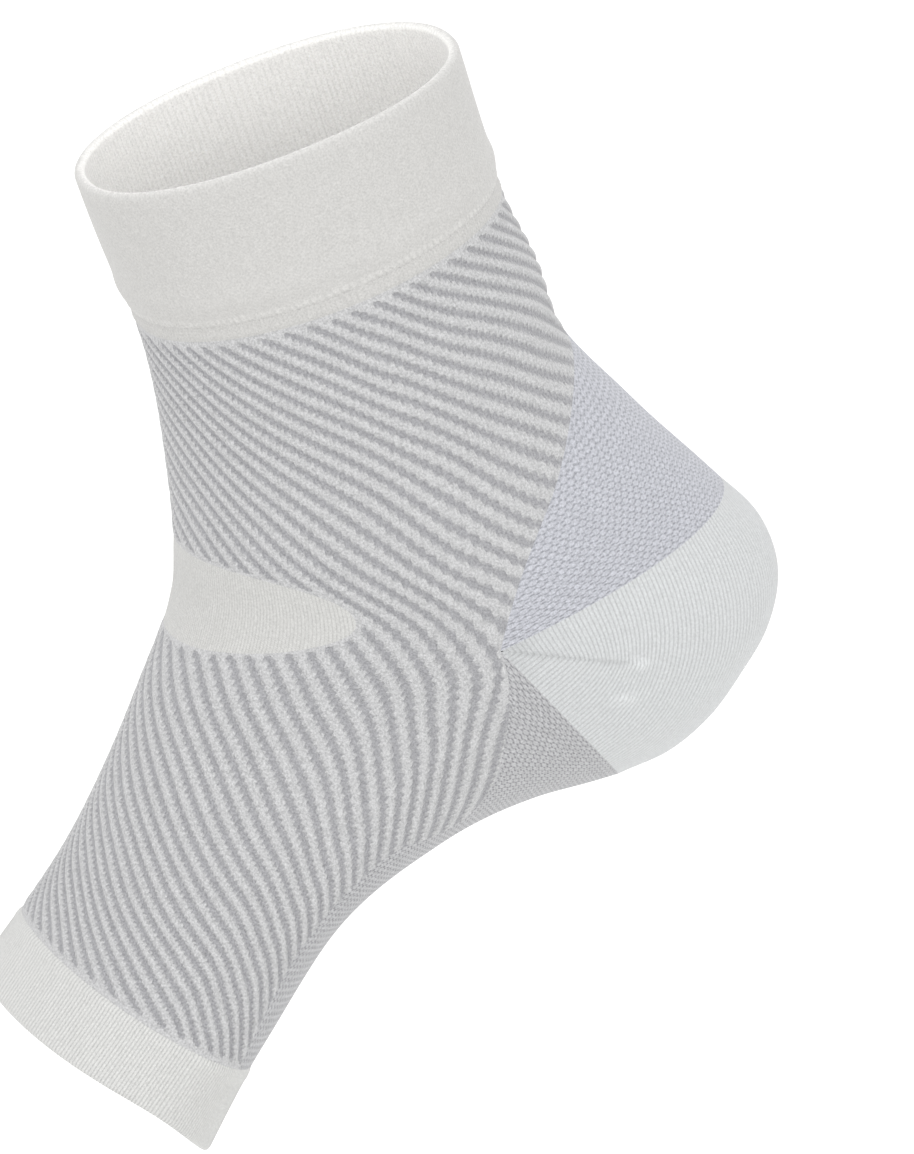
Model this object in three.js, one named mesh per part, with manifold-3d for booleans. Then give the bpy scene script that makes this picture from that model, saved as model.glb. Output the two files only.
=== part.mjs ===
// An open-toe knitted foot sleeve in its worn shape: a turned cuff, a striped tube that bends over the
// ankle, mesh panels behind the ankle and under the foot, a turned heel and a ribbed toe band.
// Millimetres. Z runs up along the leg, the toes point to -Y, the heel to +Y, X is across the foot.
// The origin is the centre of the ankle, where the foot holds the sleeve.
import * as THREE from "three";
import Module from "manifold-3d";

// Leg sizes
const legHeight = 108.5; // ankle centre up to the cuff's rim
const cuffHeight = 29.3; // rim down to the hem's stitch row
const hemTaper = 4.2; // the hem thins over this height
const joinHeight = 2.9; // plain band below the hem
const cuffDepth = 78.5; // front to back at the rim
const cuffWidth = 63; // side to side at the rim

// Ankle and heel sizes
const instepReach = 50; // ankle centre forward to the instep bend
const instepRise = 18.5; // and up to it
const goreShift = 2.5; // the heel's corner sits this far behind the ankle centre
const goreDrop = 1; // and this far below it
const goreWidth = 72; // across the two corners
const heelTopReach = 61.5; // back to the heel's upper edge
const heelTopRise = 2; // and up to it
const heelReach = 67; // back to the heel's rearmost point
const heelDrop = 46; // down to the sole under the heel
const heelLowReach = 22; // back to the heel's lower edge under the sole

// Foot sizes
const footSlant = 34; // degrees that the foot points down from level
const footLength = 110; // ankle centre to the toe edge along the slant
const footDepth = 49; // instep to sole at the toe edge
const footWidth = 87; // side to side at the toe edge
const toeBandHeight = 14; // width of the ribbed toe band

// Panel and patch sizes
const achillesHeight = 42.5; // dome of the rear mesh panel above the heel's corners
const patchCentre = 97.5; // rim down to the middle of the instep oval
const patchHeight = 33; // oval's height along the instep, in leg and foot courses
const patchSpread = 62; // degrees that the oval runs to each side

// Fabric thickness and gaps
const knitWall = 1.3;
const cuffWall = 2.2; // two layers of the cuff's knit
const cuffLift = 0.7; // the cuff stands proud of the knit below it
const toeWall = 1.5;
const toeLift = 0.2;
const seamGap = 0.3; // clearance between neighbouring pieces

// Section shape
const sectionSquareness = 2.2; // 2 is an ellipse
const heelSquareness = 2.7; // the heel is fuller at its sides, midway between its edges
const bendSoftness = 0.5; // how softly a ring turns at the side of the ankle
const bendFade = 35; // distance from the ankle over which rings straighten

// Mesh fineness
const ringSteps = 44;
const legSteps = 6;
const domeSteps = 9;
const footSteps = 16;
const heelSteps = 14;
const panelSteps = 8;

// Leg sections, top to ankle. "at" and every height is a share of legHeight, every reach a share of half
// the cuff's depth, and the width a share of half the cuff's width.
const LEG = [
  { at: 0.0, front: 0.99, frontUp: 1.0, side: 0.0, sideUp: 1.0, back: 0.98, backUp: 1.0, wide: 1.0 },
  { at: 0.31, front: 0.955, frontUp: 0.69, side: 0.01, sideUp: 0.68, back: 0.97, backUp: 0.7, wide: 1.02 },
  { at: 0.45, front: 0.98, frontUp: 0.555, side: 0.01, sideUp: 0.53, back: 1.03, backUp: 0.56, wide: 1.05 },
  { at: 0.6, front: 1.055, frontUp: 0.41, side: 0.05, sideUp: 0.37, back: 1.04, backUp: 0.41, wide: 1.08 },
  { at: 0.75, front: 1.135, frontUp: 0.285, side: 0.065, sideUp: 0.19, back: 1.26, backUp: 0.235, wide: 1.11 },
];

// Foot sections, ankle to toe edge, in the slanted frame of the foot. "at" and every distance along the
// foot is a share of footLength, every rise a share of half footDepth, the width a share of half footWidth.
const FOOT = [
  { at: 0.2, front: 0.437, frontUp: 1.54, side: 0.155, sideUp: -0.02, back: 0.19, backUp: -1.56, wide: 0.815 },
  { at: 0.42, front: 0.584, frontUp: 1.37, side: 0.373, sideUp: 0.0, back: 0.346, backUp: -1.065, wide: 0.83 },
  { at: 0.64, front: 0.727, frontUp: 1.2, side: 0.603, sideUp: 0.08, back: 0.545, backUp: -0.68, wide: 0.895 },
  { at: 0.84, front: 0.87, frontUp: 1.1, side: 0.838, sideUp: 0.08, back: 0.803, backUp: -0.73, wide: 0.965 },
  { at: 1.0, front: 1.035, frontUp: 1.07, side: 1.007, sideUp: 0.08, back: 1.032, backUp: -0.91, wide: 1.0 },
];

// Heel outline from its upper to its lower edge, as shares of heelReach and heelDrop.
const HEEL = [
  { back: 0.99, up: -0.17 },
  { back: 0.99, up: -0.385 },
  { back: 0.91, up: -0.585 },
  { back: 0.78, up: -0.75 },
  { back: 0.645, up: -0.895 },
  { back: 0.495, up: -0.985 },
];

// Edge of the sole's mesh panel: degrees round from the instep at shares of footLength past the ankle.
const SOLE_EDGE = [
  { at: 0.0, turn: 90 },
  { at: 0.08, turn: 98 },
  { at: 0.17, turn: 110 },
  { at: 0.26, turn: 123 },
  { at: 0.34, turn: 130 },
  { at: 0.4, turn: 125 },
  { at: 0.45, turn: 112 },
  { at: 0.52, turn: 106 },
  { at: 0.68, turn: 105 },
  { at: 0.8, turn: 111 },
  { at: 0.9, turn: 119 },
];

const wasm = await Module();
wasm.setup();

const halfTurn = Math.PI;
const quarter = Math.PI / 2;
const radians = (degrees) => (degrees * Math.PI) / 180;
const ankleAt = legHeight; // the courses are counted in millimetres down from the rim
const toeAt = ankleAt + footLength;
const cuffEnd = cuffHeight;
const joinEnd = cuffEnd + joinHeight;
const bandStart = toeAt - toeBandHeight;
const halfGap = seamGap / 2;
const gapTurn = halfGap / (goreWidth / 2); // the half gap as an angle round the tube

// A point of the foot from its distance along the slant and its rise above it.
function footPoint(along, rise) {
  const a = radians(footSlant);
  return {
    y: -Math.cos(a) * along - Math.sin(a) * rise,
    z: -Math.sin(a) * along + Math.cos(a) * rise,
  };
}

function legRow(r) {
  const depth = cuffDepth / 2;
  return {
    at: r.at * legHeight,
    frontY: -r.front * depth,
    frontZ: r.frontUp * legHeight,
    sideY: r.side * depth,
    sideZ: r.sideUp * legHeight,
    backY: r.back * depth,
    backZ: r.backUp * legHeight,
    wide: (r.wide * cuffWidth) / 2,
  };
}

function footRow(r) {
  const depth = footDepth / 2;
  const front = footPoint(r.front * footLength, r.frontUp * depth);
  const side = footPoint(r.side * footLength, r.sideUp * depth);
  const back = footPoint(r.back * footLength, r.backUp * depth);
  return {
    at: ankleAt + r.at * footLength,
    frontY: front.y,
    frontZ: front.z,
    sideY: side.y,
    sideZ: side.z,
    backY: back.y,
    backZ: back.z,
    wide: (r.wide * footWidth) / 2,
  };
}

// The ankle ring, whose rear half is the heel's upper edge on the leg and its lower edge on the foot.
function ankleRow(backY, backZ) {
  return {
    at: ankleAt,
    frontY: -instepReach,
    frontZ: instepRise,
    sideY: goreShift,
    sideZ: -goreDrop,
    backY,
    backZ,
    wide: goreWidth / 2,
  };
}

const legRows = [...LEG.map(legRow), ankleRow(heelTopReach, heelTopRise)];
const footRows = [ankleRow(heelLowReach, -heelDrop), ...FOOT.map(footRow)];
const allRows = [...legRows, ...footRows.slice(1)];
const soleEdgeRows = SOLE_EDGE.map((r) => ({ at: ankleAt + r.at * footLength, turn: radians(r.turn) }));

// The heel's outline with its two edges, counted by length from the upper edge.
const heelRows = (() => {
  const rows = [
    { backY: heelTopReach, backZ: heelTopRise },
    ...HEEL.map((r) => ({ backY: r.back * heelReach, backZ: r.up * heelDrop })),
    { backY: heelLowReach, backZ: -heelDrop },
  ];
  let length = 0;
  rows.forEach((r, i) => {
    if (i) length += Math.hypot(r.backY - rows[i - 1].backY, r.backZ - rows[i - 1].backZ);
    r.at = length;
  });
  return rows;
})();
const heelArc = heelRows[heelRows.length - 1].at;

// A smooth value of one column between the rows of a table.
function between(rows, column, at) {
  const last = rows.length - 1;
  let i = 0;
  while (i < last - 1 && at > rows[i + 1].at) i += 1;
  const slope = (k) => {
    const a = rows[Math.max(k - 1, 0)];
    const b = rows[Math.min(k + 1, last)];
    return (b[column] - a[column]) / (b.at - a.at);
  };
  const step = rows[i + 1].at - rows[i].at;
  const t = (at - rows[i].at) / step;
  const t2 = t * t;
  const t3 = t2 * t;
  return (
    (2 * t3 - 3 * t2 + 1) * rows[i][column] +
    (t3 - 2 * t2 + t) * step * slope(i) +
    (3 * t2 - 2 * t3) * rows[i + 1][column] +
    (t3 - t2) * step * slope(i + 1)
  );
}

// One point of a ring through a front, side and back point. turn is 0 at the instep and half a turn at
// the back; soft is 0 for a ring that folds at its sides and more for one that bends smoothly.
function ringPoint(r, soft, turn, squareness = sectionSquareness) {
  const power = 2 / squareness;
  const shaped = (value) => Math.sign(value) * Math.abs(value) ** power;
  const c = shaped(Math.cos(turn));
  const s = shaped(Math.sin(turn));
  const fold = (Math.hypot(c, soft) - soft) / (Math.hypot(1, soft) - soft);
  return new THREE.Vector3(
    r.wide * s,
    r.sideY + (c * (r.frontY - r.backY)) / 2 + fold * ((r.frontY + r.backY) / 2 - r.sideY),
    r.sideZ + (c * (r.frontZ - r.backZ)) / 2 + fold * ((r.frontZ + r.backZ) / 2 - r.sideZ),
  );
}

// The tube's outer surface, at millimetres down from the rim and a turn from the instep.
function tubePoint(at, turn) {
  const rear = at <= ankleAt ? legRows : footRows;
  const row = {
    backY: between(rear, "backY", at),
    backZ: between(rear, "backZ", at),
  };
  for (const column of ["frontY", "frontZ", "sideY", "sideZ", "wide"]) row[column] = between(allRows, column, at);
  const far = Math.min(Math.abs(at - ankleAt) / bendFade, 1);
  return ringPoint(row, bendSoftness * far * far * (3 - 2 * far), turn);
}

// The heel's outer surface: half rings that fan out round the two corners.
function heelPoint(at, turn) {
  const backY = between(heelRows, "backY", at);
  const backZ = between(heelRows, "backZ", at);
  const row = { ...ankleRow(backY, backZ), frontY: 2 * goreShift - backY, frontZ: -2 * goreDrop - backZ };
  const full = Math.sin((halfTurn * at) / heelArc) ** 2;
  return ringPoint(row, 0, turn, sectionSquareness + (heelSquareness - sectionSquareness) * full);
}

// The way out of a surface at a place on it.
function outward(surface, at, turn, low, high) {
  const step = 0.25;
  const swing = 0.01;
  const before = Math.max(at - step, low);
  const after = Math.min(at + step, high);
  const down = surface(after, turn).sub(surface(before, turn));
  const round = surface(at, turn + swing).sub(surface(at, turn - swing));
  return down.cross(round).normalize();
}

// A point at a height above the tube's or the heel's surface, negative for inside it.
function onTube(at, turn, height) {
  const [low, high] = at <= ankleAt ? [0, ankleAt] : [ankleAt + 1e-6, toeAt];
  return tubePoint(at, turn).addScaledVector(outward(tubePoint, at, turn, low, high), height);
}

function onHeel(at, turn, height) {
  const clear = radians(2);
  const steady = Math.min(Math.max(turn, quarter + clear), 3 * quarter - clear);
  return heelPoint(at, turn).addScaledVector(outward(heelPoint, at, steady, 0, heelArc), height);
}

// Geometry from triangles of points, with equal points merged and flat triangles dropped.
function geometryOf(triangles) {
  const points = [];
  const index = [];
  const seen = new Map();
  const place = (p) => {
    const key = [p.x, p.y, p.z].map((value) => Math.round(value * 1e4)).join();
    if (!seen.has(key)) {
      seen.set(key, points.length / 3);
      points.push(p.x, p.y, p.z);
    }
    return seen.get(key);
  };
  for (const corners of triangles) {
    const [a, b, c] = corners.map(place);
    if (a !== b && b !== c && c !== a) index.push(a, b, c);
  }
  const geometry = new THREE.BufferGeometry();
  geometry.setAttribute("position", new THREE.Float32BufferAttribute(points, 3));
  geometry.setIndex(index);
  geometry.computeVertexNormals();
  return geometry;
}

// A closed sheet of fabric: rows of outer points, the same rows of inner points, and walls where the
// edge is open. ringed joins the last column to the first.
function sheetOf(outer, inner, ringed) {
  const triangles = [];
  const quad = (a, b, c, d) => triangles.push([a, b, c], [a, c, d]);
  const rows = outer.length - 1;
  const columns = outer[0].length - 1;
  for (let i = 0; i < rows; i += 1) {
    for (let j = 0; j < columns; j += 1) {
      quad(outer[i][j], outer[i + 1][j], outer[i + 1][j + 1], outer[i][j + 1]);
      quad(inner[i][j], inner[i][j + 1], inner[i + 1][j + 1], inner[i + 1][j]);
    }
  }
  for (let j = 0; j < columns; j += 1) {
    quad(outer[0][j], outer[0][j + 1], inner[0][j + 1], inner[0][j]);
    quad(outer[rows][j + 1], outer[rows][j], inner[rows][j], inner[rows][j + 1]);
  }
  for (let i = 0; i < rows; i += 1) {
    if (ringed(i)) continue;
    quad(outer[i + 1][0], outer[i][0], inner[i][0], inner[i + 1][0]);
    quad(outer[i][columns], outer[i + 1][columns], inner[i + 1][columns], inner[i][columns]);
  }
  return geometryOf(triangles);
}

// A ring of fabric whose cross-section is a closed outline of places down the tube and heights above it.
function hoopOf(outline) {
  const triangles = [];
  const count = outline.length;
  const rings = outline.map(([at, height]) =>
    Array.from({ length: ringSteps + 1 }, (_, j) => onTube(at, (2 * halfTurn * (j % ringSteps)) / ringSteps, height)),
  );
  for (let i = 0; i < count; i += 1) {
    const a = rings[i];
    const b = rings[(i + 1) % count];
    for (let j = 0; j < ringSteps; j += 1) triangles.push([a[j], b[j], b[j + 1]], [a[j], b[j + 1], a[j + 1]]);
  }
  return geometryOf(triangles);
}

function grid(rows, columns, point) {
  return Array.from({ length: rows + 1 }, (_, i) =>
    Array.from({ length: columns + 1 }, (_, j) => point(i / rows, j / columns, i, j)),
  );
}

function solidOf(geometry) {
  return new wasm.Manifold(
    new wasm.Mesh({
      numProp: 3,
      vertProperties: new Float32Array(geometry.getAttribute("position").array),
      triVerts: new Uint32Array(geometry.getIndex().array),
    }),
  );
}

function geometryOfSolid(solid) {
  const mesh = solid.getMesh();
  const geometry = new THREE.BufferGeometry();
  const points = [];
  for (let i = 0; i < mesh.numVert; i += 1) {
    points.push(...mesh.vertProperties.subarray(i * mesh.numProp, i * mesh.numProp + 3));
  }
  geometry.setAttribute("position", new THREE.Float32BufferAttribute(points, 3));
  geometry.setIndex(Array.from(mesh.triVerts));
  geometry.computeVertexNormals();
  return geometry;
}

// The rear dome: how far round its edge lies, and how far down its top edge lies, at an angle from its
// foot. grow moves the edge out.
function domeTurn(angle, grow) {
  return halfTurn - (quarter + grow / (goreWidth / 2)) * Math.cos(angle);
}

function domeTop(angle, grow) {
  return ankleAt - (achillesHeight + grow) * Math.sin(angle);
}

// The turned cuff: round at the rim, two layers thick, and thinned at its hem.
function ankleCuff() {
  const outer = cuffLift;
  const inner = cuffLift - cuffWall;
  const middle = (outer + inner) / 2;
  const nose = cuffWall / 2;
  const end = cuffEnd - halfGap;
  return hoopOf([
    [0, middle],
    [nose * 0.3, outer - nose * 0.29],
    [nose, outer],
    [cuffHeight * 0.35, outer],
    [cuffHeight * 0.65, outer],
    [end - hemTaper, outer],
    [end - hemTaper * 0.45, outer * 0.62],
    [end, 0],
    [end, -knitWall],
    [end - hemTaper, inner],
    [cuffHeight * 0.5, inner],
    [nose, inner],
    [nose * 0.3, inner + nose * 0.29],
  ]);
}

// The plain band below the hem.
function cuffJoinBand() {
  const top = cuffEnd + halfGap;
  const end = joinEnd - halfGap;
  return hoopOf([
    [top, 0],
    [end, 0],
    [end, -knitWall],
    [top, -knitWall],
  ]);
}

// How far round the striped knit runs at a place past the ankle.
function soleTurn(at) {
  return between(soleEdgeRows, "turn", at);
}

// The places of the striped tube's rows, with how far round each row runs.
function sleeveRows() {
  const rows = [];
  const start = joinEnd + halfGap;
  const apex = domeTop(quarter, halfGap);
  for (let i = 0; i < legSteps; i += 1) rows.push({ at: start + ((apex - start) * i) / legSteps, turn: halfTurn });
  for (let i = 0; i <= domeSteps; i += 1) {
    const angle = quarter * (1 - i / domeSteps);
    rows.push({ at: domeTop(angle, halfGap), turn: domeTurn(angle, halfGap) });
  }
  const end = bandStart - halfGap;
  for (let i = 1; i <= footSteps; i += 1) {
    const at = ankleAt + ((end - ankleAt) * i) / footSteps;
    rows.push({ at, turn: soleTurn(at) - gapTurn });
  }
  return rows;
}

// The oval's edge: a place down the tube and a turn, at an angle round it.
function ovalPlace(angle, share, grow) {
  const power = 2 / 2.3;
  const shaped = (value) => Math.sign(value) * Math.abs(value) ** power;
  return {
    at: patchCentre + share * (patchHeight / 2 + grow) * shaped(Math.cos(angle)),
    turn: share * (radians(patchSpread) + grow / (goreWidth / 2)) * shaped(Math.sin(angle)),
  };
}

function ovalSheet(grow, top, bottom, rings) {
  const sides = 28;
  const at = (height) =>
    grid(rings, sides, (share, _, i, j) => {
      const place = ovalPlace((2 * halfTurn * (j % sides)) / sides, share, grow);
      return onTube(place.at, place.turn, height);
    });
  return sheetOf(at(top), at(bottom), () => true);
}

// The striped tube from the join band to the toe band, open behind the ankle and under the foot for the
// mesh panels and in front for the oval.
function stripedSleeve() {
  const rows = sleeveRows();
  const layer = (height) =>
    grid(rows.length - 1, ringSteps, (_, share, i, j) => {
      const full = rows[i].turn >= halfTurn - 1e-9;
      const round = full ? (j % ringSteps) / ringSteps : share;
      return onTube(rows[i].at, rows[i].turn * (2 * round - 1), height);
    });
  const closed = (i) => rows[i + 1].turn >= halfTurn - 1e-9;
  const tube = sheetOf(layer(0), layer(-knitWall), closed);
  const window = ovalSheet(halfGap, knitWall, -2 * knitWall, 5);
  return geometryOfSolid(solidOf(tube).subtract(solidOf(window)));
}

// The plain oval that fills the window in front.
function instepPatch() {
  return ovalSheet(-halfGap, 0, -knitWall, 5);
}

// The dome-shaped mesh panel between the striped tube and the heel's upper edge.
function achillesPanel() {
  const tip = 0.025; // radians of the dome's angle left off at each pointed corner
  const columns = 2 * domeSteps;
  const layer = (height) =>
    grid(panelSteps, columns, (share, _, i, j) => {
      const angle = Math.min(Math.max((halfTurn * j) / columns, tip), halfTurn - tip);
      const top = domeTop(angle, -halfGap);
      const low = ankleAt - halfGap;
      return onTube(top + (low - top) * share, domeTurn(angle, -halfGap), height);
    });
  return sheetOf(layer(0), layer(-knitWall), () => false);
}

// The turned heel between the two mesh panels.
function heelPocket() {
  const clear = radians(0.9); // the pointed corners stop short of the striped tube
  const layer = (height) =>
    grid(heelSteps, 2 * panelSteps, (share, across) => {
      const turn = quarter + clear + (halfTurn - 2 * clear) * across;
      const narrow = Math.abs(Math.cos(turn)) ** (2 / sectionSquareness);
      const trim = halfGap / narrow;
      return onHeel(trim + (heelArc - 2 * trim) * share, turn, height);
    });
  return sheetOf(layer(0), layer(-knitWall), () => false);
}

// The mesh panel under the heel and along the sole.
function solePanel() {
  const end = bandStart - halfGap;
  const layer = (height) =>
    grid(footSteps, panelSteps, (_, across, i) => {
      const at = i ? ankleAt + ((end - ankleAt) * i) / footSteps : ankleAt + halfGap;
      const edge = soleTurn(at) + gapTurn;
      return onTube(at, edge + 2 * (halfTurn - edge) * across, height);
    });
  return sheetOf(layer(0), layer(-knitWall), () => false);
}

// The ribbed band round the open toe end, round at its edge.
function toeBand() {
  const outer = toeLift;
  const inner = toeLift - toeWall;
  const nose = toeWall / 2;
  const top = bandStart + halfGap;
  return hoopOf([
    [top, 0],
    [top + nose, outer],
    [(top + toeAt) / 2, outer],
    [toeAt - nose, outer],
    [toeAt - nose * 0.3, outer - nose * 0.29],
    [toeAt, (outer + inner) / 2],
    [toeAt - nose * 0.3, inner + nose * 0.29],
    [toeAt - nose, inner],
    [(top + toeAt) / 2, inner],
    [top, inner],
  ]);
}

const finish = {
  plainKnit: { color: 0xe6e6e4, roughness: 0.95 },
  ribbedKnit: { color: 0xd9d9d7, roughness: 0.95 },
  stripedKnit: { color: 0xc0c0c2, roughness: 0.95 },
  meshKnit: { color: 0xc4c5cc, roughness: 0.95 },
};

const group = new THREE.Group();
group.name = "foot_sleeve";
const add = (name, geometry, look) => {
  const mesh = new THREE.Mesh(geometry, new THREE.MeshStandardMaterial(look));
  mesh.name = name;
  group.add(mesh);
};

add("ankle_cuff", ankleCuff(), finish.plainKnit);
add("cuff_join_band", cuffJoinBand(), finish.plainKnit);
add("striped_sleeve", stripedSleeve(), finish.stripedKnit);
add("achilles_panel", achillesPanel(), finish.meshKnit);
add("instep_patch", instepPatch(), finish.plainKnit);
add("heel_pocket", heelPocket(), finish.plainKnit);
add("sole_panel", solePanel(), finish.meshKnit);
add("toe_band", toeBand(), finish.ribbedKnit);

export default group;
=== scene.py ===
# An open-toe knitted foot sleeve in its worn shape. Metres, +Z up the leg, the toes point to -Y.
# The knit is laid out flat in millimetres, u round the leg and v down from the cuff's rim, and is
# then wrapped on the worn form, so every pattern keeps its real size.
import math

import bmesh
import bpy
import numpy as np
from mathutils import Matrix, Vector
from mathutils.geometry import intersect_point_quad_2d


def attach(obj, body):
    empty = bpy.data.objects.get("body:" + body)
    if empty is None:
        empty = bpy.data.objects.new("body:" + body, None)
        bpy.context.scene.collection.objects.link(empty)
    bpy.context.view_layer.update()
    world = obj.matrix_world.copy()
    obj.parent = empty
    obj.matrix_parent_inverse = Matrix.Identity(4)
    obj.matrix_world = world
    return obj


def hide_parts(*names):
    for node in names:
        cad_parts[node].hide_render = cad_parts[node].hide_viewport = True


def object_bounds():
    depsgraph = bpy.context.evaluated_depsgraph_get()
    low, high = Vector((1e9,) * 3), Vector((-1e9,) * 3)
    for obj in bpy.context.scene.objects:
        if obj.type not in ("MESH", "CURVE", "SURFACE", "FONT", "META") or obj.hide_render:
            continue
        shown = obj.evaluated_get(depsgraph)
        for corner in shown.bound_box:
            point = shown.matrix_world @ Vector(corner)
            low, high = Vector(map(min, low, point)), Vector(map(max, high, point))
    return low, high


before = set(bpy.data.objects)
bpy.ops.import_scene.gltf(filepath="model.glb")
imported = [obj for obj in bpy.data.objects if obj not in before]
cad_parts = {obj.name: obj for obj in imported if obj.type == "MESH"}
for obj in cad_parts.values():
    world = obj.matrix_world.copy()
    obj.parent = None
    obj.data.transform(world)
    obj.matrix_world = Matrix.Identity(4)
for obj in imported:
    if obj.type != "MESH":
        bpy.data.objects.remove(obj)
cad_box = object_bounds()

# Sizes of the worn form, in millimetres, as in the part's source
LEG_HEIGHT = 108.5
CUFF_HEIGHT = 29.3
HEM_TAPER = 4.2
JOIN_HEIGHT = 2.9
CUFF_DEPTH = 78.5
CUFF_WIDTH = 63.0
INSTEP = (50.0, 18.5)
GORE = (2.5, 1.0)
GORE_WIDTH = 72.0
HEEL_TOP = (61.5, 2.0)
HEEL_REACH = 67.0
HEEL_DROP = 46.0
HEEL_LOW = (22.0, 46.0)
FOOT_SLANT = math.radians(34)
FOOT_LENGTH = 110.0
FOOT_DEPTH = 49.0
FOOT_WIDTH = 87.0
TOE_BAND = 14.0
DOME_HEIGHT = 42.5
PATCH_CENTRE = 97.5
PATCH_HEIGHT = 33.0
PATCH_SPREAD = math.radians(62)
KNIT_WALL = 1.3
CUFF_WALL = 2.2
CUFF_LIFT = 0.7
TOE_WALL = 1.5
TOE_LIFT = 0.2
ROUNDNESS = 2.2
HEEL_ROUNDNESS = 2.7
BEND_SOFT = 0.5
BEND_FADE = 35.0

ANKLE = LEG_HEIGHT
TOE = ANKLE + FOOT_LENGTH
JOIN_END = CUFF_HEIGHT + JOIN_HEIGHT
BAND_START = TOE - TOE_BAND
HALF = math.pi
QUARTER = math.pi / 2

# Sizes of the knit, in millimetres
ROUND = 36.0  # flat width of the knit for each radian round the leg
FLAT_WIDTH = 2 * math.pi * ROUND
STRIPES = 48  # ribs in one turn
RIB_LEAN = 22.46 / HALF  # ribs that a turn of one radian crosses, from the instep on
SIDE_LEAN = 1.54  # and the few more that it crosses at the side
FRONT_EASE = 2.6  # and the few less that it crosses at the front of the leg, where they lie flatter
FRONT_SPREAD = 0.45  # radians round from the instep that this reaches
END_RATE = 0.27  # ribs a millimetre beyond the ends of the striped knit
RIB_RELIEF = 0.26  # the ribs stand this far over the mean surface, and the grooves under it
WALE = 1.15  # column of stitches in the striped knit
TOOTH = 0.8  # share of a wale by which a rib's edge steps
TOE_RIBS = 232
HEM_STITCH = 1.4  # pitch of the stitches that close the cuff's hem
HEEL_WALE = 1.0
MESH_WIDE = 1.7
MESH_TALL = 1.2
FLECKS = 2300  # loose fibres in a metre: drawn 0.4 mm wide, as real ones are too fine to show
STRAYS = 1900  # places in a metre where a fibre crosses a rib's edge, 0.5 mm each
CLOUDS = 420  # denser and looser patches in a metre, 2.4 mm each
GORE_END = 29.0  # the gore's seam ends this far from the heel's corner, in a pucker
PUCKER_GAP = 7.5  # and a second pucker lies this far under the first
SNAP = 0.15  # knit points this near a panel's edge are drawn onto it
ON_LINE = 0.01  # and this near they count as lying on it
CORNER_REACH = 4.0  # edges with an end this near a corner of the cut are looked at for it
CREASE = 1.2  # radians between two faces past which their edge is shaded sharp
CUT_GAP = 0.002  # each piece of knit stops this far short of its seam

# Columns of the tables of sections: place, then how far out and how far up the front, side and back lie
SECTION = ("at", "front", "front_up", "side", "side_up", "back", "back_up", "wide")
# Leg sections from the rim down, as shares of the leg's height and of half the cuff's depth and width
LEG = [dict(zip(SECTION, row)) for row in (
    (0.0, 0.99, 1.0, 0.0, 1.0, 0.98, 1.0, 1.0),
    (0.31, 0.955, 0.69, 0.01, 0.68, 0.97, 0.7, 1.02),
    (0.45, 0.98, 0.555, 0.01, 0.53, 1.03, 0.56, 1.05),
    (0.6, 1.055, 0.41, 0.05, 0.37, 1.04, 0.41, 1.08),
    (0.75, 1.135, 0.285, 0.065, 0.19, 1.26, 0.235, 1.11),
)]
# Foot sections from the ankle to the toe edge, in the slanted frame of the foot
FOOT = [dict(zip(SECTION, row)) for row in (
    (0.2, 0.437, 1.54, 0.155, -0.02, 0.19, -1.56, 0.815),
    (0.42, 0.584, 1.37, 0.373, 0.0, 0.346, -1.065, 0.83),
    (0.64, 0.727, 1.2, 0.603, 0.08, 0.545, -0.68, 0.895),
    (0.84, 0.87, 1.1, 0.838, 0.08, 0.803, -0.73, 0.965),
    (1.0, 1.035, 1.07, 1.007, 0.08, 1.032, -0.91, 1.0),
)]
# Heel outline from its upper to its lower edge, as shares of its reach and drop
HEEL = [(0.99, -0.17), (0.99, -0.385), (0.91, -0.585), (0.78, -0.75), (0.645, -0.895), (0.495, -0.985)]
# Run of the ribs: how many are passed down the instep, and how many more the near side crosses, where
# the worn knit stretches round the ankle and draws in again towards the toes
RIBS = [
    {"at": 32.2, "down": 0.0, "more": 0.0}, {"at": 50, "down": 5.0, "more": 0.5},
    {"at": 65, "down": 8.8, "more": 1.2}, {"at": 80, "down": 12.0, "more": 1.7},
    {"at": 95, "down": 14.6, "more": 2.3}, {"at": 110, "down": 16.5, "more": 2.9},
    {"at": 125, "down": 18.7, "more": 3.1}, {"at": 145, "down": 22.0, "more": 3.0},
    {"at": 162, "down": 24.9, "more": 2.2}, {"at": 180, "down": 28.3, "more": -0.1},
    {"at": 192, "down": 31.1, "more": -1.8}, {"at": 204.5, "down": 34.3, "more": -2.9},
]
# Edge of the sole's mesh: degrees round from the instep at shares of the foot's length
SOLE_EDGE = [
    (0.0, 90), (0.08, 98), (0.17, 110), (0.26, 123), (0.34, 130), (0.4, 125),
    (0.45, 112), (0.52, 106), (0.68, 105), (0.8, 111), (0.9, 119),
]


# The worn form

def leg_row(r):
    depth = CUFF_DEPTH / 2
    return {
        "at": r["at"] * LEG_HEIGHT,
        "front_y": -r["front"] * depth, "front_z": r["front_up"] * LEG_HEIGHT,
        "side_y": r["side"] * depth, "side_z": r["side_up"] * LEG_HEIGHT,
        "back_y": r["back"] * depth, "back_z": r["back_up"] * LEG_HEIGHT,
        "wide": r["wide"] * CUFF_WIDTH / 2,
    }


def foot_row(r):
    row = {"at": ANKLE + r["at"] * FOOT_LENGTH, "wide": r["wide"] * FOOT_WIDTH / 2}
    for part in ("front", "side", "back"):
        along = r[part] * FOOT_LENGTH
        rise = r[part + "_up"] * FOOT_DEPTH / 2
        row[part + "_y"] = -math.cos(FOOT_SLANT) * along - math.sin(FOOT_SLANT) * rise
        row[part + "_z"] = -math.sin(FOOT_SLANT) * along + math.cos(FOOT_SLANT) * rise
    return row


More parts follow.
